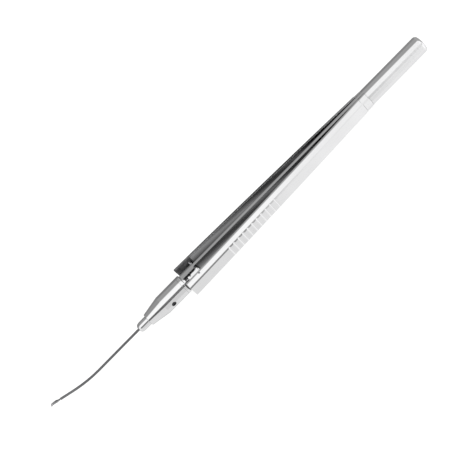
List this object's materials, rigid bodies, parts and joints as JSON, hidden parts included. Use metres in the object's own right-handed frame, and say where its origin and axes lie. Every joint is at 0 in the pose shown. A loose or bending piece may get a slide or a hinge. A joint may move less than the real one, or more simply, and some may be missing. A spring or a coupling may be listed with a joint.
{
  "type": "squeeze-handle micro forceps",
  "caption": "Polished squeeze-handle micro forceps: spread spring arms drive a thin bent tube over hooked jaws to close them.",
  "frame": {"origin": "middle of the flat face at the end of the tail rod", "axes": "+X along the handle towards the jaws, +Y to the left arm, +Z to the side that the shaft bends to"},
  "size_m": [0.1296, 0.0094, 0.006],
  "materials": {
    "polished_steel": "mirror polished",
    "satin_steel": "fine turned",
    "tube_steel": "drawn, dark satin",
    "blackened_steel": "black oxide",
    "spring_steel": "drawn",
    "jaw_steel": "electropolished",
    "seal_rubber": "matte"
  },
  "bodies": {
    "handle": {"core_frame": "polished_steel", "root_dowel_rear": "satin_steel", "root_dowel_front": "satin_steel", "lock_ring": "polished_steel", "nose_body": "polished_steel", "nose_ferrule": "polished_steel", "guide_bush": "satin_steel", "seal_ring": "seal_rubber", "set_screw": "blackened_steel", "wire_anchor": "satin_steel", "core_wire": "spring_steel", "return_spring": "spring_steel"},
    "left_arm": {"arm_left": "polished_steel", "arm_pin_left": "satin_steel"},
    "right_arm": {"arm_right": "polished_steel", "arm_pin_right": "satin_steel"},
    "left_link": {"link_left": "satin_steel"},
    "right_link": {"link_right": "satin_steel"},
    "slider": {"slider_block": "polished_steel", "slider_pin_left": "satin_steel", "slider_pin_right": "satin_steel", "plunger": "satin_steel", "tube_hub": "satin_steel", "shaft_tube": "tube_steel"},
    "jaw_carrier": {"jaw_stem": "spring_steel"},
    "left_jaw": {"jaw_left": "jaw_steel"},
    "right_jaw": {"jaw_right": "jaw_steel"}
  },
  "joints": [
    {"name": "left_arm_squeeze", "type": "hinge", "parent": "handle", "child": "left_arm", "pos_m": [0.0195, 0.00048, 0], "axis": [0, 0, -1], "range_deg": [0, 0.6553], "stiffness_Nm_per_rad": 4},
    {"name": "right_arm_squeeze", "type": "hinge", "parent": "handle", "child": "right_arm", "pos_m": [0.0195, -0.00048, 0], "axis": [0, 0, 1], "range_deg": [0, 0.6553], "stiffness_Nm_per_rad": 4},
    {"name": "left_link_turn", "type": "hinge", "parent": "left_arm", "child": "left_link", "pos_m": [0.08, 0.00345, 0], "axis": [0, 0, 1], "range_deg": [0, 16.3]},
    {"name": "right_link_turn", "type": "hinge", "parent": "right_arm", "child": "right_link", "pos_m": [0.08, -0.00345, 0], "axis": [0, 0, -1], "range_deg": [0, 16.3]},
    {"name": "tube_slide", "type": "slide", "parent": "handle", "child": "slider", "axis": [1, 0, 0], "range_m": [0, 0.0007005], "stiffness_N_per_m": 200, "deforming": ["return_spring"]},
    {"name": "stem_shift", "type": "slide", "parent": "handle", "child": "jaw_carrier", "axis": [0.3107, 0, -0.9505], "range_m": [0, 0.0002178]},
    {"name": "left_jaw_close", "type": "hinge", "parent": "jaw_carrier", "child": "left_jaw", "pos_m": [0.12554, 0, 0.00209], "axis": [0.3107, 0, -0.9505], "range_deg": [0, 2.53]},
    {"name": "right_jaw_close", "type": "hinge", "parent": "jaw_carrier", "child": "right_jaw", "pos_m": [0.12554, 0, 0.00209], "axis": [-0.3107, 0, 0.9505], "range_deg": [0, 2.53]}
  ],
  "couplings": [
    {"joint": "right_arm_squeeze", "follows": "left_arm_squeeze", "ratio": 1},
    {"joint": "left_link_turn", "follows": "left_arm_squeeze", "ratio": 24.725},
    {"joint": "right_link_turn", "follows": "left_arm_squeeze", "ratio": 24.725},
    {"joint": "tube_slide", "follows": "left_arm_squeeze", "m_per_rad": 0.061205},
    {"joint": "stem_shift", "follows": "left_arm_squeeze", "m_per_rad": 0.019015},
    {"joint": "left_jaw_close", "follows": "left_arm_squeeze", "ratio": 3.8472},
    {"joint": "right_jaw_close", "follows": "left_arm_squeeze", "ratio": 3.8472}
  ]
}
